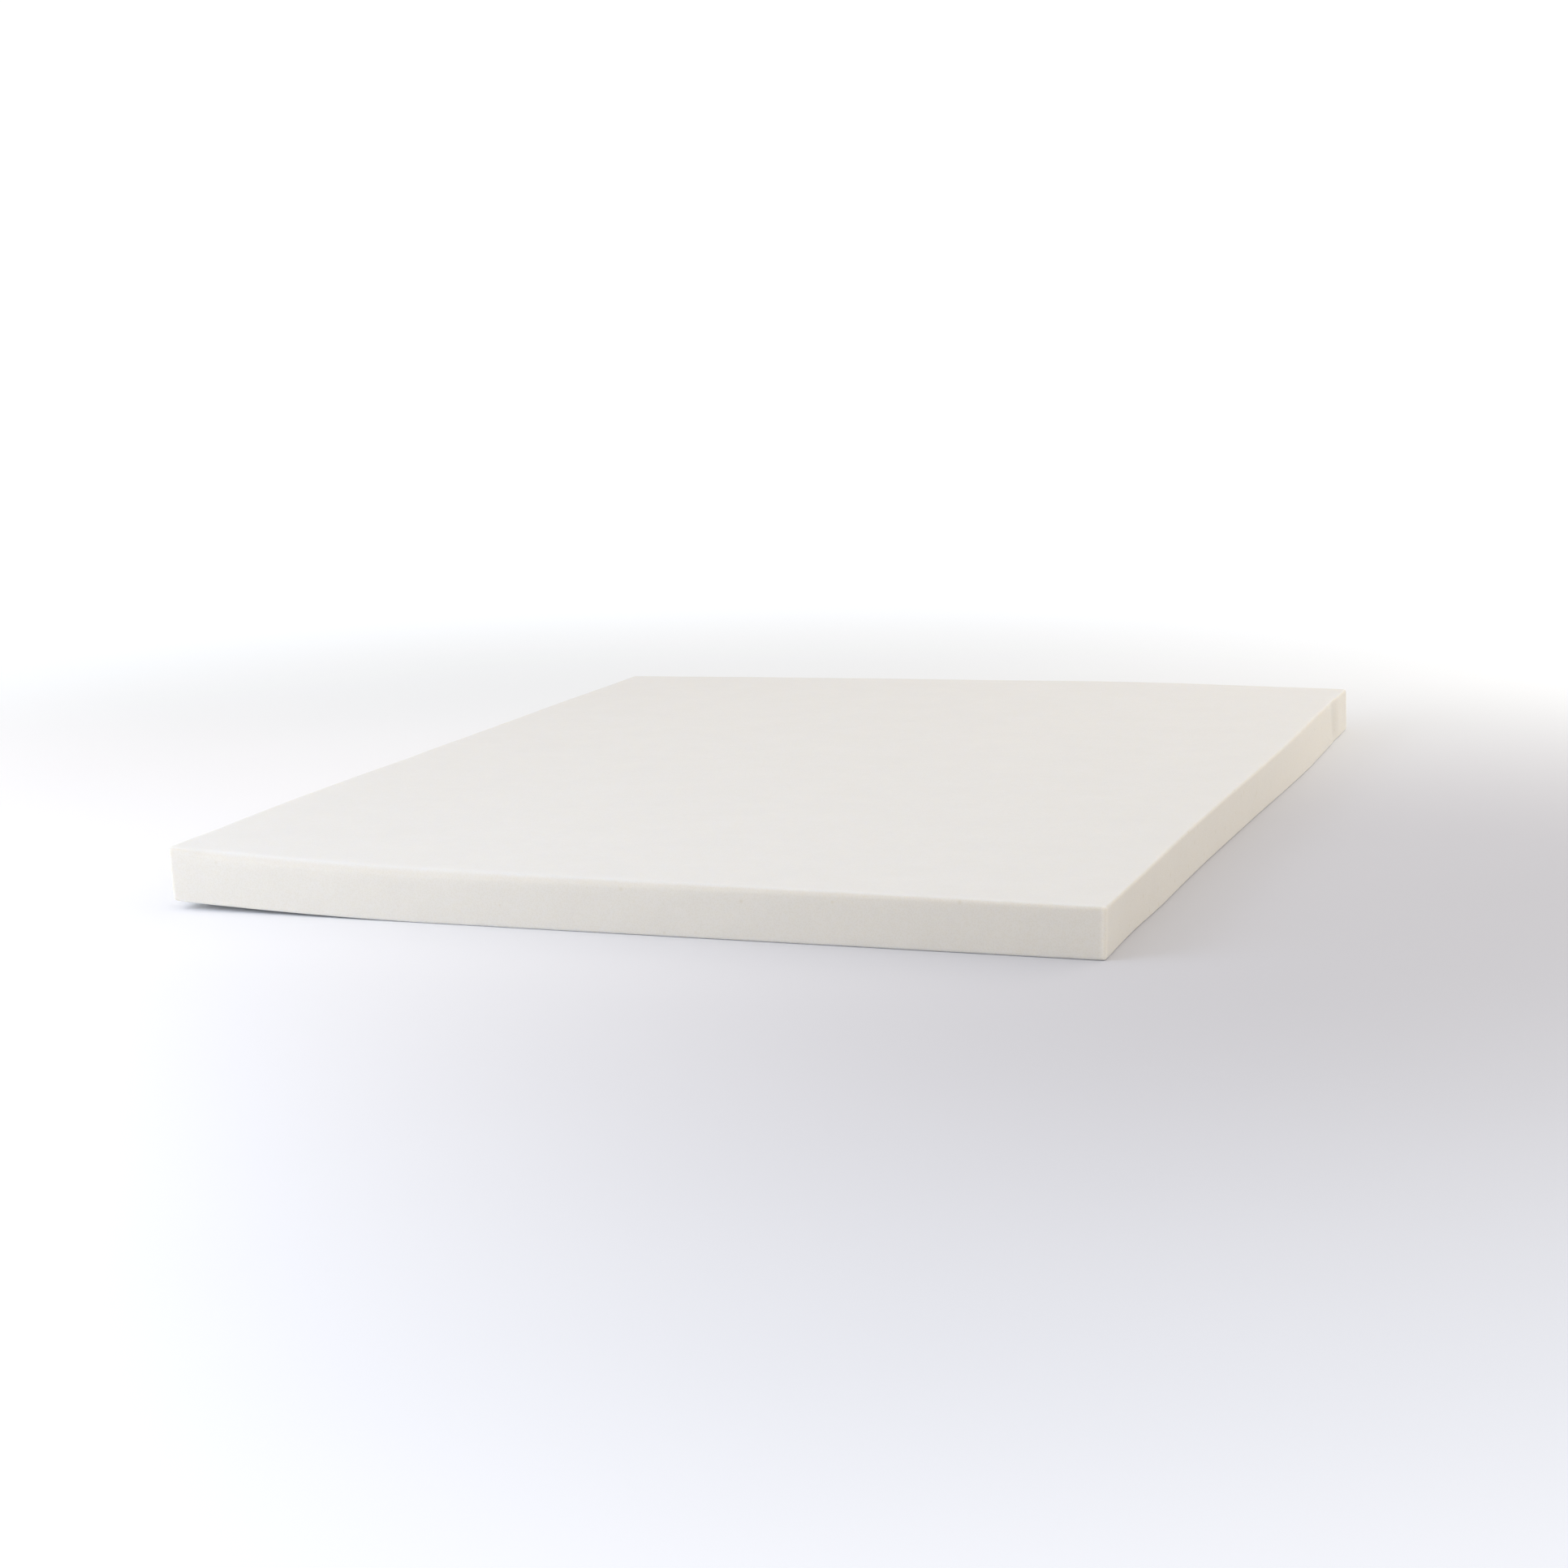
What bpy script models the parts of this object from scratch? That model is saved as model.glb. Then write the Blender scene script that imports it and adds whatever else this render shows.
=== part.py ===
"""Full-size mattress topper: one slab of memory foam, three inches thick.

The slab is sawn from a block and has no cover. It lies as it settled: flat on
its underside, with the foot-left corner still lifting off the surface, the
head-left quarter pressed down in two soft steps, the left side a little
thicker than the right, and the sawn right side slightly bowed and out of
square. Metres, +Z up. X runs across the bed, Y from its foot to its head, and
the origin lies under the middle of the slab, on the surface it rests on.
"""

from collections import namedtuple
import math

import bmesh
import bpy

# Driving sizes
WIDTH = 1.372           # full (double) bed, 54 in
LENGTH = 1.905          # 75 in
THICKNESS = 0.0762      # 3 in
TAPER = 0.0055          # the left side is this much thicker than the right
EDGE_ROUND = 0.0035     # the sawn edges are soft, not knife sharp
UPRIGHT_ROUND = 0.006   # the four upright corners are softer
CURLED_ROUND = 0.011    # the foot's top edge is softest where the corner curls up
ROUND_STEPS = 2
BAY = 0.0762            # spacing of the cuts that let the slab bend: 18 bays across, 25 along
SAWN_ANGLE = math.radians(60.0)

# Foot-left corner, which still curls up from having been rolled
CORNER_LIFT = 0.0125
LIFT_ACROSS = 5 * BAY   # how far the lift reaches along the foot
LIFT_FOLD_AT = -LENGTH / 2 + 11 * BAY   # where it leaves the surface along the left side
LIFT_ALONG = 0.55       # how soon beyond that it is at its full height
LIFT_BEND = 0.7         # along the foot, 0 lifts in a straight line and 1 in a curve

# Head-left quarter: soft steps down, beyond a line that crosses the slab
DIP_LINE_AT = -0.15     # where the line leaves the left side, along Y
DIP_LINE_TURN = math.radians(47.0)
Step = namedtuple("Step", "start run drop")
DIP_STEPS = (
    Step(start=-0.10, run=0.24, drop=0.005),
    Step(start=0.20, run=0.50, drop=0.016),
)

# Long sides: how far the saw wandered
BOW = 0.0022
BOW_WAVE = 1.15
BOW_CREST_AT = -0.92
Lean = namedtuple("Lean", "at reach out")
RIGHT_LEANS = (         # how far the underside stands out past the top
    Lean(at=-0.80, reach=0.24, out=-0.004),
    Lean(at=0.58, reach=0.50, out=0.007),
)

FOAM_COLOUR = (0.815, 0.785, 0.715, 1.0)
FOAM_ROUGHNESS = 0.92


def clear_scene():
    for thing in list(bpy.data.objects):
        bpy.data.objects.remove(thing, do_unlink=True)


def clamp(value):
    return max(0.0, min(1.0, value))


def ease(value):
    """Rise from 0 to 1 with a level start and end."""
    t = clamp(value)
    return t * t * (3.0 - 2.0 * t)


def bell(distance, reach):
    """Fall from 1 at the middle to 0 at the reach, on both sides."""
    return math.cos(0.5 * math.pi * clamp(abs(distance) / reach)) ** 2


def corner_lift(x, y):
    """Height of the underside above the surface."""
    across = 1.0 - clamp((x + WIDTH / 2) / LIFT_ACROSS)
    along = math.sin(0.5 * math.pi * clamp((LIFT_FOLD_AT - y) / LIFT_ALONG))
    return CORNER_LIFT * along * (across * (1.0 - LIFT_BEND) + across ** 2 * LIFT_BEND)


def head_dip(x, y):
    """How far the top is pressed down in the head-left quarter."""
    beyond = (y - DIP_LINE_AT) * math.cos(DIP_LINE_TURN) - (x + WIDTH / 2) * math.sin(DIP_LINE_TURN)
    return sum(step.drop * ease((beyond - step.start) / step.run) for step in DIP_STEPS)


def local_thickness(x, y):
    return THICKNESS - TAPER * x / WIDTH - head_dip(x, y)


def side_shift(x, y, level):
    """Sideways drift of the sawn long sides; level is 0 at the underside and 1 at the top."""
    bow = BOW * math.cos(2.0 * math.pi * (y - BOW_CREST_AT) / BOW_WAVE)
    lean = sum(row.out * bell(y - row.at, row.reach) for row in RIGHT_LEANS)
    right = clamp(x / (WIDTH / 2))
    return right * (bow + lean * (1.0 - level))


def flat_block():
    """A plain block of foam with cuts across and along it, so that it can bend."""
    bm = bmesh.new()
    bmesh.ops.create_cube(bm, size=1.0)
    bmesh.ops.translate(bm, verts=bm.verts, vec=(0.0, 0.0, 0.5))
    bmesh.ops.scale(bm, verts=bm.verts, vec=(WIDTH, LENGTH, THICKNESS))
    for size, normal in ((WIDTH, (1.0, 0.0, 0.0)), (LENGTH, (0.0, 1.0, 0.0))):
        bays = round(size / BAY)
        for cut in range(1, bays):
            place = size * (cut / bays - 0.5)
            whole = bm.verts[:] + bm.edges[:] + bm.faces[:]
            bmesh.ops.bisect_plane(bm, geom=whole, plane_co=[place * n for n in normal], plane_no=normal)
    return bm


def settle(bm):
    """Lay the block down: lift, taper, dip and side drift, one vertex at a time."""
    for vert in bm.verts:
        x, y, z = vert.co
        level = z / THICKNESS
        vert.co.x = x + side_shift(x, y, level)
        vert.co.z = corner_lift(x, y) + level * local_thickness(x, y)


def edge_round(edge):
    """Radius of one sawn edge of the flat block; nothing on the cuts across its faces."""
    if edge.calc_face_angle() < SAWN_ANGLE:
        return 0.0
    middle = (edge.verts[0].co + edge.verts[1].co) / 2
    if 0.0 < middle.z < THICKNESS:
        return UPRIGHT_ROUND
    on_foot = middle.y < -LENGTH / 2 + BAY / 4
    if on_foot and middle.z > THICKNESS / 2:
        across = clamp((middle.x + WIDTH / 2) / LIFT_ACROSS)
        return EDGE_ROUND + (CURLED_ROUND - EDGE_ROUND) * (1.0 - across) ** 2
    return EDGE_ROUND


def weigh_edges(bm):
    """Store each edge's radius as a share of the largest one, for the bevel."""
    weight = bm.edges.layers.float.new("bevel_weight_edge")
    for edge in bm.edges:
        edge[weight] = edge_round(edge) / CURLED_ROUND


def centre(bm):
    """Bring the middle of the slab's box over the origin."""
    for axis in (0, 1):
        places = [vert.co[axis] for vert in bm.verts]
        middle = (min(places) + max(places)) / 2
        for vert in bm.verts:
            vert.co[axis] -= middle


def foam_material():
    material = bpy.data.materials.new("cream_memory_foam")
    material.use_nodes = True
    shader = material.node_tree.nodes["Principled BSDF"]
    shader.inputs["Base Color"].default_value = FOAM_COLOUR
    shader.inputs["Roughness"].default_value = FOAM_ROUGHNESS
    shader.inputs["Metallic"].default_value = 0.0
    material.diffuse_color = FOAM_COLOUR
    return material


def foam_slab(collection):
    bm = flat_block()
    weigh_edges(bm)
    settle(bm)
    centre(bm)
    mesh = bpy.data.meshes.new("foam_slab")
    bm.to_mesh(mesh)
    bm.free()
    mesh.materials.append(foam_material())
    mesh.shade_smooth()
    slab = bpy.data.objects.new("foam_slab", mesh)
    collection.objects.link(slab)

    soften = slab.modifiers.new("soft_sawn_edges", "BEVEL")
    soften.width = CURLED_ROUND
    soften.segments = ROUND_STEPS
    soften.limit_method = "WEIGHT"
    return slab


def main():
    clear_scene()
    collection = bpy.data.collections.new("mattress_topper")
    bpy.context.scene.collection.children.link(collection)
    foam_slab(collection)


if __name__ == "__main__":
    main()
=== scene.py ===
"""Builds a full-size mattress topper, one bare slab of memory foam, and a pale studio for it.

The slab comes from a Geometry Nodes tree with the sizes in FoamForm. The tree starts from a block
whose cells crowd along its edges, rounds it, gives it the slow drift of a sawn block, and lays it
down as it settled. X runs across the slab, Y from its foot to its head, and Z up from the floor.
"""

import math

import bmesh
import bpy
from bpy.props import FloatProperty, FloatVectorProperty, IntProperty, PointerProperty
from mathutils import Matrix, Vector


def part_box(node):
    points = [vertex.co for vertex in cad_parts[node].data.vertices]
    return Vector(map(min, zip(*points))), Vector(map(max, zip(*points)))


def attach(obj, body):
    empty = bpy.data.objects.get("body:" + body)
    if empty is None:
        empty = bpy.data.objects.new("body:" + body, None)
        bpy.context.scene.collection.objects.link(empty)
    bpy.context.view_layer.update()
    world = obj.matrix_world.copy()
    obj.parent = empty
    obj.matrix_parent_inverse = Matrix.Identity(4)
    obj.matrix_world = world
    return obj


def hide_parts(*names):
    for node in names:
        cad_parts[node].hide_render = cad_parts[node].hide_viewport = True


bl_info = {
    "name": "Mattress Topper",
    "version": (1, 0, 0),
    "blender": (4, 5, 0),
    "location": "3D View > Sidebar > Topper",
    "description": "Builds a bare memory foam mattress topper and a pale studio for it",
    "category": "Add Mesh",
}

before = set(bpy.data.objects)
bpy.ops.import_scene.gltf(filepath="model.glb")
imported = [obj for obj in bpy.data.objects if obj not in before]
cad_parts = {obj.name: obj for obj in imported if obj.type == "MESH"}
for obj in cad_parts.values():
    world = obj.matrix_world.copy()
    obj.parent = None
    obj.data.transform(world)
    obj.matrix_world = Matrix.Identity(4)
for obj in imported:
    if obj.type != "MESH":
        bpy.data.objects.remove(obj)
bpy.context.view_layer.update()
SLAB_LOW, SLAB_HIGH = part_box("foam_slab")

INCH = 0.0254
MM = 0.001
HALVES = (0.5, 0.5, 0.5)

# Node types that the trees use again and again
MATH = "ShaderNodeMath"
VECTOR = "ShaderNodeVectorMath"
SEPARATE = "ShaderNodeSeparateXYZ"
RANGE = "ShaderNodeMapRange"
MIX = "ShaderNodeMix"
NOISE = "ShaderNodeTexNoise"

# Places of the sockets of a Mix node for colours: its factor, its two colours, and its result
FACTOR, FIRST, SECOND, MIXED = 0, 6, 7, 2

# Inputs for how many cells the block has along X, Y and Z
COUNTS = ("Columns", "Rows", "Layers")

# The cells crowd in a few close rows along every edge, where the slab is rounded. Away from the
# edges, the layers are closer together than the columns and rows, by this factor
CROWDED_ROWS = 5
CROWDED_STEP = 2.4 * MM
CLOSER_LAYERS = 1.5

# The foot's top edge is soft, and grows crisper between two distances from its left end
SOFT_ALONG = (0.35, 1.25)
SOFT_IN = 60 * MM           # how far in from its two ends it is at its softest
SOFT_BACK = 60 * MM         # how far back from the foot it fades out
SOFT_DOWN = 50 * MM         # how far down from the top it fades out

# An upright corner's radius gives way to the edges' over this distance. From this nearness to the
# corner on, the right corners are painted paler, a painted highlight
UPRIGHT_REACH = 20 * MM
PAINTED_HIGHLIGHT_FROM = 0.5

# The pressed quarter goes down in two steps, at these distances beyond its line
FIRST_STEP = (-0.03, 0.285)
SECOND_STEP = (0.02, 1.22)

# The right side bows in one wave, its underside stands out or in around two places along Y, and it
# is dented around a third. Each of these three fades out over its reach, to either side
BOW_WAVE = 1.15
BOW_CREST = -0.92
FOOT_LEAN_AT = -0.80
FOOT_LEAN_REACH = 0.24
HEAD_LEAN_AT = 0.58
HEAD_LEAN_REACH = 0.50
DENT_AT = 0.82
DENT_REACH = 0.05

# The left side stands out at the top over this distance from the foot
LEFT_LEAN_REACH = 0.16

# Where the right side's shape, painted highlight and painted shade come in, and the left side's
# shape goes out, as shares of the width, from -0.5 at the left to 0.5 at the right
RIGHT_SHAPE = (0.0, 0.5)
RIGHT_PAINTED_LIGHT = (0.0, 0.4)
LEFT_SHAPE = (-0.5, -0.4)

# A face is sawn where its normal's upright part is below the first, and peeled above the second.
# So the sawn colour reaches far up the rounded edges, where it is a painted shade
SHADED_SAWN_TO_PEELED = (0.6, 0.97)

# Noise runs between about these two values
NOISE_SPAN = (0.3, 0.7)

# Open cells: the distances from a cell's middle, in cell sizes, up to which it is at full depth and
# at which it ends, and its depth on the peeled top and on the sawn sides
CELL_RIM = (0.12, 0.60)
CELL_DEPTH = (0.12, 0.24)

# Pits: the share of places that have none, the width of the widest with its soft rim, and the depth
PITLESS = 0.4
PIT_WIDTH = 11 * MM
PIT_DEPTH = 0.5

# Widths of the clouds and mottles in the cream, and how dark and how light each makes it
CLOUD = 80 * MM
CLOUD_SHADES = (0.992, 1.008)
MOTTLE = 14 * MM
MOTTLE_SHADES = (0.995, 1.005)

# How much paler the painted highlight makes the two right corners, and how much duller the
# painted shade makes the dent, beside the rest of the cream
CORNER_PAINTED_HIGHLIGHT = 1.12
DENT_PAINTED_SHADE = 0.915

# Knife marks: how far apart they are on the sides and along the top, how often they change in a
# metre along their length, and how high they are, where an open cell of depth 1 goes down by 0.5
SIDE_MARKS = 6 * MM
TOP_MARKS = 18 * MM
MARK_CHANGES = 3
MARK_HEIGHT = 0.05
CELL_HEIGHT = -0.5

# How rough the foam is, at its surface and down in its cells
ROUGHNESS = (0.88, 0.98)

# The floor is a disc, this far below the slab's underside. Its paint has clouds about 0.7 m wide
FLOOR_RADIUS = 60.0
FLOOR_GAP = 0.2 * MM
FLOOR_CLOUDS = 1.5
FLOOR_SHADES = (0.995, 1.005)

# The floor is painted greyer from the left to the right, around a point beside the foot's right
# end, a painted shade
GREY_AT = (0.8, -1.3, 0.0)
GREY_ACROSS = (-1.0, 1.0)
GREY_FADE = (1.2, 3.0)

# The floor takes on its far colour between these places along Y
FAR_FLOOR_FROM = (-0.2, 1.2)

# The far floor glows to meet the sky: how much, and the distances from the slab's middle at which
# the glow sets in and is full
FLOOR_GLOW = 0.33
GLOW_FROM = (1.3, 3.4)

# The sky is brighter along the horizon by this factor, which fades between two heights of view
HORIZON_GLOW = 5.3
HORIZON = (0.04, 0.25)


def linear(hex_colour):
    """Turn an sRGB hex colour into scene-linear red, green and blue."""
    channels = [int(hex_colour[i:i + 2], 16) / 255 for i in (0, 2, 4)]
    return tuple(c / 12.92 if c <= 0.04045 else ((c + 0.055) / 1.055) ** 2.4 for c in channels)


def add(tree, kind, inputs=(), **settings):
    """Add a node with its settings, and link or fill its inputs, given by place or by name."""
    node = tree.nodes.new(kind)
    for name, value in settings.items():
        setattr(node, name, value)
    for key, value in inputs.items() if isinstance(inputs, dict) else enumerate(inputs):
        source = value.outputs[0] if isinstance(value, bpy.types.Node) else value
        if isinstance(source, bpy.types.NodeSocket):
            tree.links.new(source, node.inputs[key])
        else:
            node.inputs[key].default_value = source
    return node


class FoamForm(bpy.types.PropertyGroup):
    """Sizes of the foam slab, and how it lies."""

    width: FloatProperty(
        name="Width", description="From the left side to the right",
        default=54 * INCH, min=0.5, unit="LENGTH")
    length: FloatProperty(
        name="Length", description="From the foot to the head",
        default=75 * INCH, min=0.5, unit="LENGTH")
    thickness: FloatProperty(
        name="Thickness", description="Of the foam as sawn",
        default=3 * INCH, min=0.04, unit="LENGTH")
    cell: FloatProperty(
        name="Cell", description="Size of the mesh's cells away from the edges",
        default=9.6 * MM, min=0.004, unit="LENGTH")
    edge_round: FloatProperty(
        name="Edge Round", description="Radius of the sawn edges",
        default=3.5 * MM, unit="LENGTH")
    upright_round: FloatProperty(
        name="Upright Round", description="Radius of the four upright corners",
        default=5 * MM, unit="LENGTH")
    curled_round: FloatProperty(
        name="Curled Round", description="Radius of the foot's top edge beside the curled corner",
        default=16 * MM, unit="LENGTH")
    foot_round: FloatProperty(
        name="Foot Round", description="Radius of the foot's top edge towards its right end",
        default=6 * MM, unit="LENGTH")
    taper: FloatProperty(
        name="Taper", description="How much thicker the left side is than the right",
        default=5.5 * MM, unit="LENGTH")
    corner_lift: FloatProperty(
        name="Corner Lift", description="Height of the curled foot-left corner above the floor",
        default=12.5 * MM, unit="LENGTH")
    lift_across: FloatProperty(
        name="Lift Across", description="Reach of the lift along the foot",
        default=15 * INCH, unit="LENGTH")
    lift_fold: FloatProperty(
        name="Lift Fold", description="Where the left side leaves the floor, along Y",
        default=-0.125, unit="LENGTH")
    lift_along: FloatProperty(
        name="Lift Along", description="How far past its fold the lift is full",
        default=0.74, unit="LENGTH")
    lift_bend: FloatProperty(
        name="Lift Bend", description="0 lifts the foot in a straight line, 1 in a full curve",
        default=0.7, min=0.0, max=1.0, subtype="FACTOR")
    dip_line: FloatProperty(
        name="Dip Line",
        description="Where the pressed quarter's line leaves the left side, along Y",
        default=-0.15, unit="LENGTH")
    dip_turn: FloatProperty(
        name="Dip Turn", description="Direction of that line across the slab",
        default=math.radians(47), subtype="ANGLE")
    first_drop: FloatProperty(
        name="First Drop", description="Depth of the pressed quarter's first soft step",
        default=4.5 * MM, unit="LENGTH")
    second_drop: FloatProperty(
        name="Second Drop",
        description="Depth of its second soft step, which the corner cuts short",
        default=28.4 * MM, unit="LENGTH")
    bow: FloatProperty(
        name="Bow", description="How far the sawn right side waves in and out",
        default=2.2 * MM, unit="LENGTH")
    foot_lean: FloatProperty(
        name="Foot Lean", description="How far the right underside stands out near the foot",
        default=-4 * MM, unit="LENGTH")
    head_lean: FloatProperty(
        name="Head Lean", description="How far the right underside stands out near the head",
        default=7 * MM, unit="LENGTH")
    left_lean: FloatProperty(
        name="Left Lean", description="How far the foot-left corner stands out at the top",
        default=6 * MM, unit="LENGTH")
    dent: FloatProperty(
        name="Dent", description="Depth of the upright dent in the right side, near the head",
        default=4 * MM, unit="LENGTH")
    drift: FloatProperty(
        name="Drift", description="Slow drift of the saw on every face",
        default=0.8 * MM, unit="LENGTH")
    drift_spread: FloatProperty(
        name="Drift Spread", description="Size of that drift's swells",
        default=0.28, unit="LENGTH")
    ripple: FloatProperty(
        name="Ripple", description="Short unevenness of every face",
        default=0.2 * MM, unit="LENGTH")
    ripple_spread: FloatProperty(
        name="Ripple Spread", description="Size of the short swells",
        default=40 * MM, unit="LENGTH")
    seed: IntProperty(name="Seed", description="Changes where the swells lie", default=7)


class FoamLook(bpy.types.PropertyGroup):
    """Colours and pattern sizes of the foam."""

    peeled: FloatVectorProperty(
        name="Peeled", description="Colour of the peeled top",
        subtype="COLOR", size=3, default=linear("E5E4E0"), min=0.0, max=1.0)
    # Partly the cut foam's own colour, partly painted shade on the upright faces and rounded edges
    sawn_and_shaded: FloatVectorProperty(
        name="Sawn", description="Colour of the sawn sides, which show the foam's inside",
        subtype="COLOR", size=3, default=linear("DFDAD0"), min=0.0, max=1.0)
    # Painted shade: the open cells and pits are drawn in this darker colour
    pore_shade: FloatVectorProperty(
        name="Pore", description="Colour down in the open cells",
        subtype="COLOR", size=3, default=linear("CFC5AE"), min=0.0, max=1.0)
    pore_size: FloatProperty(
        name="Pore Size", description="Drawn size of the open cells",
        default=2.2 * MM, unit="LENGTH")
    pit_gap: FloatProperty(
        name="Pit Gap", description="Mean distance between the shallow pits",
        default=22 * MM, unit="LENGTH")


class StudioSettings(bpy.types.PropertyGroup):
    """Camera, floor and lights."""

    camera_at: FloatVectorProperty(
        name="Camera", description="Where the camera stands",
        size=3, subtype="TRANSLATION", default=(1.7705, -5.5873, 1.1067))
    camera_heading: FloatProperty(
        name="Heading", description="How far the camera turns left of the slab's length",
        default=math.radians(18.289), subtype="ANGLE")
    camera_tilt: FloatProperty(
        name="Tilt", description="How far the camera looks down",
        default=math.radians(10.289), subtype="ANGLE")
    camera_roll: FloatProperty(
        name="Roll", description="How far the camera leans to one side",
        default=math.radians(-1.010), subtype="ANGLE")
    lens: FloatProperty(
        name="Lens", description="Focal length in millimetres on a 36 mm frame",
        default=84.39, min=10.0)
    # Painted shade: the floor is drawn in this grey beside the foot's right end
    shaded_floor: FloatVectorProperty(
        name="Grey Floor", description="Colour of the floor beside the foot",
        subtype="COLOR", size=3, default=linear("D2D2D6"), min=0.0, max=1.0)
    white_floor: FloatVectorProperty(
        name="White Floor", description="Colour of the floor everywhere else",
        subtype="COLOR", size=3, default=linear("FAFAFB"), min=0.0, max=1.0)
    far_floor: FloatVectorProperty(
        name="Far Floor",
        description="Colour of the floor beyond the head, which evens out the warm light there",
        subtype="COLOR", size=3, default=linear("F6F9FB"), min=0.0, max=1.0)
    sky: FloatProperty(
        name="Sky", description="Strength of the even light from all round",
        default=0.2, min=0.0)
    ceiling: FloatProperty(
        name="Ceiling", description="Strength of the broad light from the ceiling",
        default=1.72, min=0.0)
    head_wall: FloatProperty(
        name="Head Wall", description="Strength of the broad warm light from beyond the head",
        default=0.46, min=0.0)
    window: FloatProperty(
        name="Window", description="Power of the cool light low at the left of the foot",
        default=44.7, min=0.0, unit="POWER")
    side_window: FloatProperty(
        name="Side Window", description="Power of the light on the left",
        default=5.0, min=0.0, unit="POWER")
    head_lamp: FloatProperty(
        name="Head Lamp", description="Power of the warm light at the right of the head",
        default=13.3, min=0.0, unit="POWER")


def crowded_block(tree, given, half):
    """Places for the cells of a unit cube: close rows along each edge, even cells between them."""
    unit = add(tree, "GeometryNodeInputPosition")
    counts = add(tree, "ShaderNodeCombineXYZ", [given[name] for name in COUNTS])
    size = add(tree, VECTOR, (unit,), operation="ABSOLUTE")
    side = add(tree, VECTOR, (unit,), operation="SIGN")
    inward = add(tree, VECTOR, (HALVES, size), operation="SUBTRACT")
    row = add(tree, VECTOR, (inward, counts), operation="MULTIPLY")
    near = add(tree, VECTOR, (row, (CROWDED_ROWS,) * 3), operation="MINIMUM")
    far = add(tree, VECTOR, (row, near), operation="SUBTRACT")

    far_rows = add(tree, VECTOR, (counts, HALVES, (-CROWDED_ROWS,) * 3), operation="MULTIPLY_ADD")
    far_room = add(tree, VECTOR, (half, (CROWDED_ROWS * CROWDED_STEP,) * 3), operation="SUBTRACT")
    far_step = add(tree, VECTOR, (far_room, far_rows), operation="DIVIDE")
    far_part = add(tree, VECTOR, (far, far_step), operation="MULTIPLY")
    inset = add(tree, VECTOR, (near, (CROWDED_STEP,) * 3, far_part), operation="MULTIPLY_ADD")
    outward = add(tree, VECTOR, (half, inset), operation="SUBTRACT")
    return add(tree, VECTOR, (side, outward), operation="MULTIPLY")


def nearness(tree, inside):
    """How near a point is to an upright corner, from 0 to 1 at the corner itself."""
    beside, at_end = [
        add(tree, RANGE, (inside[axis], 0.0, UPRIGHT_REACH, 1.0, 0.0),
            interpolation_type="SMOOTHSTEP")
        for axis in ("X", "Y")]
    return add(tree, MATH, (beside, at_end), operation="MULTIPLY")


def edge_radius(tree, given, flat, half, inside, near):
    """Radius of the nearest edge: larger at the upright corners and along the foot's top."""
    upright = add(tree, RANGE, (near, 0.0, 1.0, given["Edge Round"], given["Upright Round"]))
    corner = add(tree, VECTOR, (flat, half), operation="ADD")
    corner = add(tree, SEPARATE, (corner,)).outputs
    below_top = add(tree, MATH, (given["Thickness"], corner["Z"]), operation="SUBTRACT")
    soft = add(tree, RANGE, (corner["X"], *SOFT_ALONG, given["Curled Round"], given["Foot Round"]),
               interpolation_type="SMOOTHSTEP")
    ends = add(tree, RANGE, (inside["X"], 0.0, SOFT_IN), interpolation_type="SMOOTHSTEP")
    back = add(tree, RANGE, (corner["Y"], 0.0, SOFT_BACK, ends, 0.0),
               interpolation_type="SMOOTHSTEP")
    down = add(tree, RANGE, (below_top, 0.0, SOFT_DOWN, back, 0.0),
               interpolation_type="SMOOTHSTEP")
    foot = add(tree, RANGE, (down, 0.0, 1.0, given["Edge Round"], soft))
    return add(tree, MATH, (foot, upright), operation="MAXIMUM")


def rounded(tree, flat, half, radius):
    """Pull each point in to the block's core, and put it back out by the radius."""
    core = add(tree, VECTOR, (half, radius), operation="SUBTRACT")
    far_core = add(tree, VECTOR, (core, (-1, -1, -1)), operation="MULTIPLY")
    inner = add(tree, VECTOR, (flat, core), operation="MINIMUM")
    inner = add(tree, VECTOR, (inner, far_core), operation="MAXIMUM")
    outward = add(tree, VECTOR, (flat, inner), operation="SUBTRACT")
    outward = add(tree, VECTOR, (outward,), operation="NORMALIZE")
    return add(tree, VECTOR, (outward, radius, inner), operation="MULTIPLY_ADD")


def height_share(tree, given, z):
    """How far up the block a point is, from 0 at its underside to 1 at its top."""
    level = add(tree, MATH, (z, given["Thickness"]), operation="DIVIDE")
    return add(tree, MATH, (level, 0.5), operation="ADD")


def distance_along(tree, y, place):
    """How far a point is from a place along Y, to either side."""
    away = add(tree, MATH, (y, place), operation="SUBTRACT")
    return add(tree, MATH, (away,), operation="ABSOLUTE")


def corner_lift(tree, given, from_left, y):
    """The curl of the foot-left corner, which fades along the foot and along the left side."""
    straight = add(tree, RANGE, (from_left, 0.0, given["Lift Across"], 1.0, 0.0))
    curved = add(tree, MATH, (straight, 2.0), operation="POWER")
    across = add(tree, MIX, {"Factor": given["Lift Bend"], "A": straight, "B": curved})
    full = add(tree, MATH, (given["Lift Fold"], given["Lift Along"]), operation="SUBTRACT")
    along = add(tree, RANGE, (y, given["Lift Fold"], full, 0.0, math.pi / 2))
    along = add(tree, MATH, (along,), operation="SINE")
    share = add(tree, MATH, (across, along), operation="MULTIPLY")
    return add(tree, MATH, (share, given["Corner Lift"]), operation="MULTIPLY")


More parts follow.
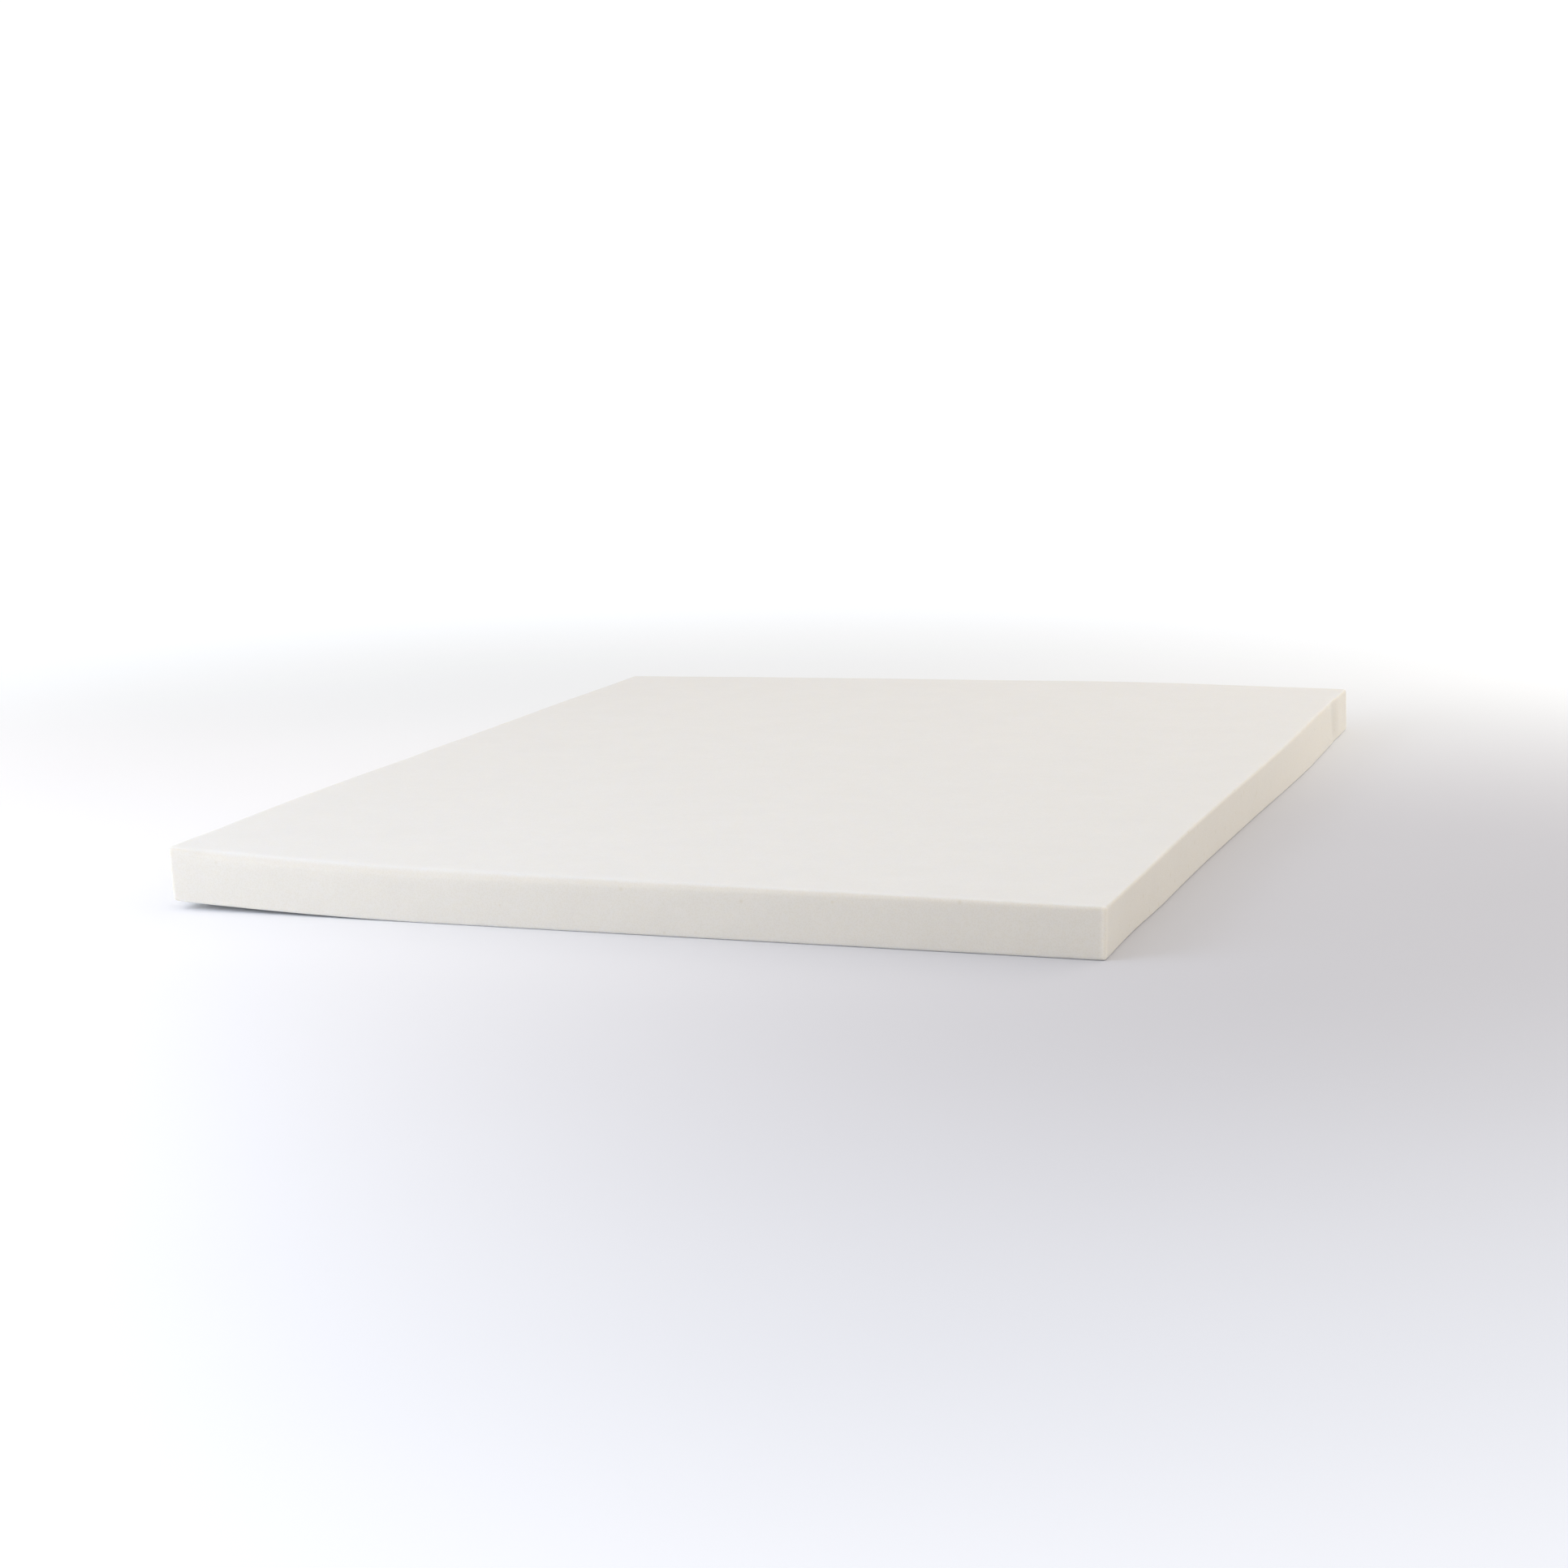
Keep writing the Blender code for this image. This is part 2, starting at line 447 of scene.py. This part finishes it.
def head_dip(tree, given, from_left, y):
    """Two soft steps down, beyond a slanting line that cuts off the head-left quarter."""
    cosine = add(tree, MATH, (given["Dip Turn"],), operation="COSINE")
    sine = add(tree, MATH, (given["Dip Turn"],), operation="SINE")
    along = add(tree, MATH, (y, given["Dip Line"]), operation="SUBTRACT")
    along = add(tree, MATH, (along, cosine), operation="MULTIPLY")
    across = add(tree, MATH, (from_left, sine), operation="MULTIPLY")
    beyond = add(tree, MATH, (along, across), operation="SUBTRACT")
    first, second = [
        add(tree, RANGE, (beyond, *step, 0.0, drop), interpolation_type="SMOOTHSTEP")
        for step, drop in ((FIRST_STEP, given["First Drop"]), (SECOND_STEP, given["Second Drop"]))]
    return add(tree, MATH, (first, second), operation="ADD")


def dented(tree, y, level):
    """Share of the upright dent near the head, which fades only close to the top and the floor."""
    away = distance_along(tree, y, DENT_AT)
    deep = add(tree, RANGE, (away, 0.0, DENT_REACH, 2.0, 0.0), interpolation_type="SMOOTHSTEP")
    below = add(tree, MATH, (1.0, level), operation="SUBTRACT")
    halfway = add(tree, MATH, (below, level), operation="MULTIPLY")
    halfway = add(tree, MATH, (halfway,), operation="SQRT")
    return add(tree, MATH, (deep, halfway), operation="MULTIPLY")


def right_side_shift(tree, given, share, y, level):
    """How far the right side bows, leans out below at two places, and is dented near the head."""
    turn = 2 * math.pi / BOW_WAVE
    wave = add(tree, MATH, (y, turn, -BOW_CREST * turn), operation="MULTIPLY_ADD")
    wave = add(tree, MATH, (wave,), operation="COSINE")
    bow = add(tree, MATH, (wave, given["Bow"]), operation="MULTIPLY")
    leans = []
    for place, reach, out in ((FOOT_LEAN_AT, FOOT_LEAN_REACH, given["Foot Lean"]),
                              (HEAD_LEAN_AT, HEAD_LEAN_REACH, given["Head Lean"])):
        away = distance_along(tree, y, place)
        leans.append(add(tree, RANGE, (away, 0.0, reach, out, 0.0),
                         interpolation_type="SMOOTHSTEP"))
    lean = add(tree, MATH, leans, operation="ADD")
    below = add(tree, MATH, (1.0, level), operation="SUBTRACT")
    shift = add(tree, MATH, (lean, below, bow), operation="MULTIPLY_ADD")
    dent = add(tree, MATH, (dented(tree, y, level), given["Dent"]), operation="MULTIPLY")
    shift = add(tree, MATH, (shift, dent), operation="SUBTRACT")
    on_right = add(tree, RANGE, (share, *RIGHT_SHAPE))
    return add(tree, MATH, (shift, on_right), operation="MULTIPLY")


def left_side_shift(tree, given, share, y, level):
    """How far the left side stands out at the top, beside the foot."""
    from_foot = add(tree, MATH, (given["Length"], 0.5, y), operation="MULTIPLY_ADD")
    close = add(tree, RANGE, (from_foot, 0.0, LEFT_LEAN_REACH, 1.0, 0.0),
                interpolation_type="SMOOTHSTEP")
    on_left = add(tree, RANGE, (share, *LEFT_SHAPE, given["Left Lean"], 0.0))
    shift = add(tree, MATH, (close, on_left), operation="MULTIPLY")
    return add(tree, MATH, (shift, level), operation="MULTIPLY")


def swells(tree, given, place, amount, spread):
    """Offset of up to about the amount, which changes slowly from place to place."""
    per_metre = add(tree, MATH, (1.0, spread), operation="DIVIDE")
    noise = add(tree, NOISE,
                {"Vector": place, "W": given["Seed"], "Scale": per_metre, "Detail": 1.0},
                noise_dimensions="4D")
    either_way = add(tree, VECTOR, (noise.outputs["Color"], HALVES), operation="SUBTRACT")
    double = add(tree, MATH, (amount, 2.0), operation="MULTIPLY")
    return add(tree, VECTOR, (either_way, double), operation="MULTIPLY")


def settled(tree, given, place):
    """Lay the rounded block down with its taper, dip, lift, uneven sides and swells."""
    x, y, z = add(tree, SEPARATE, (place,)).outputs
    share = add(tree, MATH, (x, given["Width"]), operation="DIVIDE")
    from_left = add(tree, MATH, (given["Width"], 0.5, x), operation="MULTIPLY_ADD")
    level = height_share(tree, given, z)

    taper = add(tree, MATH, (share, given["Taper"]), operation="MULTIPLY")
    height = add(tree, MATH, (given["Thickness"], taper), operation="SUBTRACT")
    dip = head_dip(tree, given, from_left, y)
    height = add(tree, MATH, (height, dip), operation="SUBTRACT")
    lift = corner_lift(tree, given, from_left, y)
    rise = add(tree, MATH, (level, height, lift), operation="MULTIPLY_ADD")
    right = right_side_shift(tree, given, share, y, level)
    left = left_side_shift(tree, given, share, y, level)
    out = add(tree, MATH, (x, right), operation="ADD")
    out = add(tree, MATH, (out, left), operation="SUBTRACT")
    laid = add(tree, "ShaderNodeCombineXYZ", (out, y, rise))

    slow = swells(tree, given, place, given["Drift"], given["Drift Spread"])
    short = swells(tree, given, place, given["Ripple"], given["Ripple Spread"])
    uneven = add(tree, VECTOR, (slow, short), operation="ADD")
    flat_below = add(tree, "ShaderNodeCombineXYZ", (1.0, 1.0, level))
    laid = add(tree, VECTOR, (uneven, flat_below, laid), operation="MULTIPLY_ADD")
    return add(tree, VECTOR, (laid, given["Middle"]), operation="ADD")


def right_side_painted_light(tree, given, flat, near):
    """How far each point takes the two right corners' painted highlight and the dent's painted
    shade.
    """
    across = add(tree, "GeometryNodeInputPosition")
    across = add(tree, SEPARATE, (across,)).outputs["X"]
    on_right = add(tree, RANGE, (across, *RIGHT_PAINTED_LIGHT))
    # Painted highlight: the share of the right corners, which the material paints paler
    corner = add(tree, RANGE, (near, PAINTED_HIGHLIGHT_FROM, 1.0), interpolation_type="SMOOTHSTEP")
    _, y, z = add(tree, SEPARATE, (flat,)).outputs
    # Painted shade: the dent's share, which the material paints duller
    dent = dented(tree, y, height_share(tree, given, z))
    return {name: add(tree, MATH, (share, on_right), operation="MULTIPLY")
            for name, share in (("corner", corner), ("painted_dent_shade", dent))}


def name_inputs(tree):
    """Give the slab's tree a named input for each size, the cell counts, its place and the foam."""
    kinds = {"FLOAT": "NodeSocketFloat", "INT": "NodeSocketInt"}
    sockets = {size.name: kinds[size.type] for size in FoamForm.bl_rna.properties
               if size.type in kinds}
    sockets.update(dict.fromkeys(COUNTS, "NodeSocketInt"))
    sockets.update({"Middle": "NodeSocketVector", "Foam": "NodeSocketMaterial"})
    for name, kind in sockets.items():
        tree.interface.new_socket(name, in_out="INPUT", socket_type=kind)


def slab_tree():
    """The tree that makes the slab: an even cube, marked, rounded, and laid down as it settled."""
    tree = bpy.data.node_groups.new("foam_slab_form", "GeometryNodeTree")
    name_inputs(tree)
    tree.interface.new_socket("Slab", in_out="OUTPUT", socket_type="NodeSocketGeometry")
    given = add(tree, "NodeGroupInput").outputs

    points = [add(tree, MATH, (given[name], 1.0), operation="ADD") for name in COUNTS]
    slab = add(tree, "GeometryNodeMeshCube", ((1, 1, 1), *points))
    half = add(tree, "ShaderNodeCombineXYZ", (given["Width"], given["Length"], given["Thickness"]))
    half = add(tree, VECTOR, (half, HALVES), operation="MULTIPLY")
    flat = crowded_block(tree, given, half)
    inside = add(tree, VECTOR, (flat,), operation="ABSOLUTE")
    inside = add(tree, VECTOR, (half, inside), operation="SUBTRACT")
    inside = add(tree, SEPARATE, (inside,)).outputs
    near = nearness(tree, inside)
    # Store the shares of the painted highlight and the painted shade for the material
    for name, value in right_side_painted_light(tree, given, flat, near).items():
        slab = add(tree, "GeometryNodeStoreNamedAttribute",
                   {"Geometry": slab, "Name": name, "Value": value},
                   data_type="FLOAT", domain="POINT")
    place = rounded(tree, flat, half, edge_radius(tree, given, flat, half, inside, near))
    place = settled(tree, given, place)
    slab = add(tree, "GeometryNodeSetPosition", {"Geometry": slab, "Position": place})

    normal = add(tree, "GeometryNodeInputNormal")
    upright = add(tree, SEPARATE, (normal,)).outputs["Z"]
    upright = add(tree, MATH, (upright,), operation="ABSOLUTE")
    # Sawn share, which also carries the painted shade of the sides and the rounded edges
    sawn_and_shaded = add(tree, RANGE, (upright, *SHADED_SAWN_TO_PEELED, 1.0, 0.0), interpolation_type="SMOOTHSTEP")
    slab = add(tree, "GeometryNodeStoreNamedAttribute",
               {"Geometry": slab, "Name": "sawn_and_shaded", "Value": sawn_and_shaded},
               data_type="FLOAT", domain="POINT")
    slab = add(tree, "GeometryNodeSetShadeSmooth", {"Geometry": slab})
    slab = add(tree, "GeometryNodeRealizeInstances", (slab,))
    slab = add(tree, "GeometryNodeSetMaterial", {"Geometry": slab, "Material": given["Foam"]})
    add(tree, "NodeGroupOutput", (slab,))
    return tree


def even_count(length, cell):
    """An even number of cells along a length, with the crowded rows at both its ends."""
    return 2 * round((length / 2 - CROWDED_ROWS * CROWDED_STEP) / cell) + 2 * CROWDED_ROWS


def make_slab(form, foam):
    """Run the slab's tree once, and return its result as a plain mesh object."""
    holder = bpy.data.objects.new("slab_holder", bpy.data.meshes.new("slab_holder"))
    bpy.context.scene.collection.objects.link(holder)
    grow = holder.modifiers.new("foam_slab_form", "NODES")
    grow.node_group = slab_tree()
    values = {size.name: getattr(form, size.identifier) for size in form.bl_rna.properties
              if size.type in {"FLOAT", "INT"}}
    values["Columns"] = even_count(form.width, form.cell)
    values["Rows"] = even_count(form.length, form.cell)
    values["Layers"] = even_count(form.thickness, form.cell / CLOSER_LAYERS)
    values["Middle"] = (
        SLAB_LOW[0] + form.width / 2, (SLAB_LOW[1] + SLAB_HIGH[1]) / 2, SLAB_LOW[2])
    values["Foam"] = foam
    for socket in grow.node_group.interface.items_tree:
        if socket.in_out == "INPUT":
            grow[socket.identifier] = values[socket.name]
    graph = bpy.context.evaluated_depsgraph_get()
    mesh = bpy.data.meshes.new_from_object(holder.evaluated_get(graph))
    mesh.name = "memory_foam_slab"
    bpy.data.objects.remove(holder)
    slab = bpy.data.objects.new("memory_foam_slab", mesh)
    bpy.context.scene.collection.objects.link(slab)
    return slab


def open_cells(tree, look, place, sawn_and_shaded):
    """Depth of the foam's open cells, from 0 to 1, with single wider ones as shallow pits.
    The material paints them darker, a painted shade.
    """
    # A fine grain, stronger where the saw cut the cells open
    cells = add(tree, "ShaderNodeTexVoronoi", {"Vector": place, "Scale": 1 / look.pore_size})
    opening = add(tree, RANGE, (sawn_and_shaded, 0.0, 1.0, *CELL_DEPTH))
    grain = add(tree, RANGE, (cells, *CELL_RIM, opening, 0.0))

    # The pits are on the sawn sides only
    seeds = add(tree, "ShaderNodeTexVoronoi", {"Vector": place, "Scale": 1 / look.pit_gap})
    chance = add(tree, "ShaderNodeSeparateColor", (seeds.outputs["Color"],))
    reach = add(tree, RANGE, (chance, PITLESS, 1.0, 0.0, PIT_WIDTH / 2 / look.pit_gap))
    shallow = add(tree, MATH, (sawn_and_shaded, PIT_DEPTH), operation="MULTIPLY")
    pit = add(tree, RANGE, (seeds, 0.0, reach, shallow, 0.0), interpolation_type="SMOOTHSTEP")
    return add(tree, MATH, (grain, pit), operation="MAXIMUM")


def cream_shade(tree, place):
    """How light or dark the foam's cream is, with a painted highlight and a painted shade on the
    right.
    """
    # Faint clouds and mottles, where the foam rose unevenly
    clouds = add(tree, NOISE, {"Vector": place, "Scale": 1 / CLOUD, "Detail": 3.0})
    mottles = add(tree, NOISE, {"Vector": place, "Scale": 1 / MOTTLE, "Detail": 2.0})
    cloud = add(tree, RANGE, (clouds, *NOISE_SPAN, *CLOUD_SHADES))
    mottle = add(tree, RANGE, (mottles, *NOISE_SPAN, *MOTTLE_SHADES))
    shade = add(tree, MATH, (cloud, mottle), operation="MULTIPLY")

    # The two upright corners on the right are painted paler, a painted highlight. The dent is
    # painted duller, a painted shade
    for name, full in (("corner", CORNER_PAINTED_HIGHLIGHT), ("painted_dent_shade", DENT_PAINTED_SHADE)):
        share = add(tree, "ShaderNodeAttribute", attribute_name=name).outputs["Fac"]
        change = add(tree, RANGE, (share, 0.0, 1.0, 1.0, full))
        shade = add(tree, MATH, (shade, change), operation="MULTIPLY")
    return shade


def knife_marks(tree, place, sawn_and_shaded):
    """Height of the knife's marks, which are long and level on the sides and along the top."""
    on_sides, on_top = [
        add(tree, VECTOR, (place, per_metre), operation="MULTIPLY")
        for per_metre in ((MARK_CHANGES, MARK_CHANGES, 1 / SIDE_MARKS),
                          (1 / TOP_MARKS, MARK_CHANGES, MARK_CHANGES))]
    side_marks, top_marks = [
        add(tree, NOISE, {"Vector": stretched, "Scale": 1.0, "Detail": 2.0})
        for stretched in (on_sides, on_top)]
    marks = add(tree, MIX, {"Factor": sawn_and_shaded, "A": top_marks, "B": side_marks})
    return add(tree, MATH, (marks, MARK_HEIGHT), operation="MULTIPLY")


def bare_memory_foam(look):
    """Viscoelastic polyurethane foam, peeled from its block and sawn to size, with no cover.

    To the eye it is a matt, even cream with a soft glow at its edges. The sawn sides show the
    grain of the open cells, and the peeled top is closed and smoother. The sides and rounded edges
    are drawn a darker, warmer cream, partly the cut foam's own colour and partly painted shade,
    and the open cells are drawn darker, a painted shade.
    Its cells are about 0.6 mm wide, too fine to show, and are drawn at the look's pore size.
    """
    material = bpy.data.materials.new("bare_memory_foam")
    material.use_nodes = True
    tree = material.node_tree
    shader = tree.nodes["Principled BSDF"]
    shader.inputs["IOR"].default_value = 1.45
    shader.inputs["Specular IOR Level"].default_value = 0.25
    shader.inputs["Subsurface Weight"].default_value = 0.6
    shader.inputs["Subsurface Radius"].default_value = (1.0, 0.9, 0.7)
    shader.inputs["Subsurface Scale"].default_value = 10 * MM
    shader.inputs["Sheen Weight"].default_value = 0.08
    shader.inputs["Sheen Roughness"].default_value = 0.6

    place = add(tree, "ShaderNodeTexCoord").outputs["Object"]
    sawn_and_shaded = add(tree, "ShaderNodeAttribute", attribute_name="sawn_and_shaded").outputs["Fac"]
    hollow = open_cells(tree, look, place, sawn_and_shaded)
    cream = (*look.peeled, 1)
    # The sawn colour is partly a painted shade, and the open cells' colour is a painted shade
    for share, colour in ((sawn_and_shaded, look.sawn_and_shaded), (hollow, look.pore_shade)):
        cream = add(tree, MIX, {FACTOR: share, FIRST: cream, SECOND: (*colour, 1)},
                    data_type="RGBA").outputs[MIXED]
    cream = add(tree, "ShaderNodeHueSaturation",
                {"Value": cream_shade(tree, place), "Color": cream})
    roughness = add(tree, RANGE, (hollow, 0.0, 1.0, *ROUGHNESS))
    relief = add(tree, MATH, (hollow, CELL_HEIGHT, knife_marks(tree, place, sawn_and_shaded)),
                 operation="MULTIPLY_ADD")
    bump = add(tree, "ShaderNodeBump", {"Strength": 0.6, "Distance": 1.0 * MM, "Height": relief})

    tree.links.new(cream.outputs[0], shader.inputs["Base Color"])
    tree.links.new(roughness.outputs[0], shader.inputs["Roughness"])
    tree.links.new(bump.outputs[0], shader.inputs["Normal"])
    return material


def pale_studio_floor(studio):
    """Matt paint rolled on boards: a white that glows, and a cool pale grey beside the foot, which
    is painted shade.
    """
    material = bpy.data.materials.new("pale_studio_floor")
    material.use_nodes = True
    tree = material.node_tree
    shader = tree.nodes["Principled BSDF"]
    shader.inputs["Specular IOR Level"].default_value = 0.2
    shader.inputs["Roughness"].default_value = 0.8
    shader.inputs["Emission Color"].default_value = (*linear("E9F3FF"), 1)

    place = add(tree, "ShaderNodeTexCoord").outputs["Object"]
    clouds = add(tree, NOISE, {"Vector": place, "Scale": FLOOR_CLOUDS, "Detail": 2.0})
    shade = add(tree, RANGE, (clouds, *NOISE_SPAN, *FLOOR_SHADES))
    away = add(tree, VECTOR, (place, GREY_AT), operation="DISTANCE").outputs["Value"]
    close = add(tree, RANGE, (away, *GREY_FADE, 1.0, 0.0), interpolation_type="SMOOTHSTEP")
    across, along, _ = add(tree, SEPARATE, (place,)).outputs
    # Painted shade: the floor greys beside the foot's right end
    painted_floor_shade = add(tree, RANGE, (across, *GREY_ACROSS, 0.0, close), interpolation_type="SMOOTHSTEP")
    beyond = add(tree, RANGE, (along, *FAR_FLOOR_FROM), interpolation_type="SMOOTHSTEP")
    paint = (*studio.white_floor, 1)
    for share, colour in ((beyond, studio.far_floor), (painted_floor_shade, studio.shaded_floor)):
        paint = add(tree, MIX, {FACTOR: share, FIRST: paint, SECOND: (*colour, 1)},
                    data_type="RGBA").outputs[MIXED]
    paint = add(tree, "ShaderNodeHueSaturation", {"Value": shade, "Color": paint})
    outward = add(tree, VECTOR, (place,), operation="LENGTH").outputs["Value"]
    glow = add(tree, RANGE, (outward, *GLOW_FROM, 0.0, FLOOR_GLOW),
               interpolation_type="SMOOTHSTEP")
    tree.links.new(paint.outputs[0], shader.inputs["Base Color"])
    tree.links.new(glow.outputs[0], shader.inputs["Emission Strength"])
    return material


def make_floor(studio):
    """A wide round floor, just below the slab."""
    disc = bmesh.new()
    bmesh.ops.create_circle(disc, cap_ends=True, segments=96, radius=FLOOR_RADIUS)
    mesh = bpy.data.meshes.new("studio_floor")
    disc.to_mesh(mesh)
    disc.free()
    mesh.materials.append(pale_studio_floor(studio))
    floor = bpy.data.objects.new("studio_floor", mesh)
    floor.location.z = -FLOOR_GAP
    bpy.context.scene.collection.objects.link(floor)
    return floor


def studio_sky(studio):
    """Even light from all round, brighter along the horizon."""
    world = bpy.data.worlds.new("studio_sky")
    world.use_nodes = True
    tree = world.node_tree
    sky = tree.nodes["Background"]
    sky.inputs["Strength"].default_value = studio.sky
    height = add(tree, "ShaderNodeTexCoord").outputs["Generated"]
    height = add(tree, SEPARATE, (height,)).outputs["Z"]
    glow = add(tree, RANGE, (height, *HORIZON, HORIZON_GLOW, 1.0),
               interpolation_type="SMOOTHSTEP")
    tint = add(tree, VECTOR, {"Vector": linear("FFFEFB"), "Scale": glow}, operation="SCALE")
    tree.links.new(tint.outputs[0], sky.inputs["Color"])
    return world


def light(name, kind, strength, colour, at, towards, spread):
    """Add a light that faces a point: a square panel, or an even light from a broad angle."""
    lamp = bpy.data.lights.new(name, kind)
    if kind == "AREA":
        lamp.size = spread
    else:
        lamp.angle = spread
    lamp.energy = strength
    lamp.color = linear(colour)
    holder = bpy.data.objects.new(name, lamp)
    holder.location = at
    holder.rotation_euler = (Vector(towards) - Vector(at)).to_track_quat("-Z", "Y").to_euler()
    bpy.context.scene.collection.objects.link(holder)


def make_lights(studio):
    """Two broad lights from above and beyond the head, and three soft panels around the slab."""
    light("ceiling_light", "SUN", studio.ceiling, "FFFAF8",
          at=(0, 0, 8), towards=(0, 0, 0), spread=math.radians(150))
    light("head_wall_light", "SUN", studio.head_wall, "FFFCF4",
          at=(6.0, 3.5, 4.0), towards=(0, 0, 0), spread=math.radians(90))
    light("window_light", "AREA", studio.window, "D5E5FF",
          at=(-2.0, -2.6, 1.0), towards=(-0.5, -0.9, 0), spread=2.2)
    light("side_window_light", "AREA", studio.side_window, "FDFEFF",
          at=(-2.6, -0.9, 1.6), towards=(-0.3, -0.3, 0), spread=1.6)
    light("head_lamp_light", "AREA", studio.head_lamp, "FFF6EB",
          at=(2.2, 2.2, 1.6), towards=(0.5, 0.7, 0), spread=1.2)


def make_camera(studio):
    """The camera, which looks along the slab from beyond its foot."""
    camera_data = bpy.data.cameras.new("photo_camera")
    camera_data.lens = studio.lens
    camera_data.sensor_width = 36.0
    camera_data.clip_end = 200.0
    camera = bpy.data.objects.new("photo_camera", camera_data)
    camera.matrix_world = (
        Matrix.Translation(studio.camera_at)
        @ Matrix.Rotation(studio.camera_heading, 4, "Z")
        @ Matrix.Rotation(math.pi / 2 - studio.camera_tilt, 4, "X")
        @ Matrix.Rotation(studio.camera_roll, 4, "Z"))
    bpy.context.scene.collection.objects.link(camera)
    return camera


class TOPPER_OT_foam_slab(bpy.types.Operator):
    """Make the slab of memory foam in place of its plain solid"""

    bl_idname = "topper.foam_slab"
    bl_label = "Foam Slab"

    def execute(self, context):
        foam = bare_memory_foam(context.scene.topper_look)
        slab = make_slab(context.scene.topper_form, foam)
        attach(slab, "root")
        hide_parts("foam_slab")
        return {"FINISHED"}


class TOPPER_OT_studio(bpy.types.Operator):
    """Make the pale floor, the soft lights and the camera"""

    bl_idname = "topper.studio"
    bl_label = "Studio"

    def execute(self, context):
        scene = context.scene
        studio = scene.topper_studio
        floor = make_floor(studio)
        scene.world = studio_sky(studio)
        scene.view_settings.view_transform = "Standard"
        make_lights(studio)
        scene.camera = make_camera(studio)
        return {"FINISHED"}


class TOPPER_PT_panel(bpy.types.Panel):
    """Lists the sizes, the looks and the steps of the build"""

    bl_idname = "TOPPER_PT_panel"
    bl_label = "Mattress Topper"
    bl_space_type = "VIEW_3D"
    bl_region_type = "UI"
    bl_category = "Topper"

    def draw(self, context):
        layout = self.layout
        for name in SETTINGS:
            settings = getattr(context.scene, name)
            box = layout.box()
            for setting in settings.bl_rna.properties:
                if setting.identifier not in {"rna_type", "name"}:
                    box.prop(settings, setting.identifier)
        for operator in OPERATORS:
            layout.operator(operator.bl_idname)


# The names under which the scene holds the settings
SETTINGS = {
    "topper_form": FoamForm,
    "topper_look": FoamLook,
    "topper_studio": StudioSettings,
}
OPERATORS = (TOPPER_OT_foam_slab, TOPPER_OT_studio)
CLASSES = (*SETTINGS.values(), *OPERATORS, TOPPER_PT_panel)


def register():
    for cls in CLASSES:
        bpy.utils.register_class(cls)
    for name, group in SETTINGS.items():
        setattr(bpy.types.Scene, name, PointerProperty(type=group))


def unregister():
    for name in SETTINGS:
        delattr(bpy.types.Scene, name)
    for cls in reversed(CLASSES):
        bpy.utils.unregister_class(cls)


def main():
    register()
    bpy.ops.topper.foam_slab()
    bpy.ops.topper.studio()


if __name__ == "__main__":
    main()
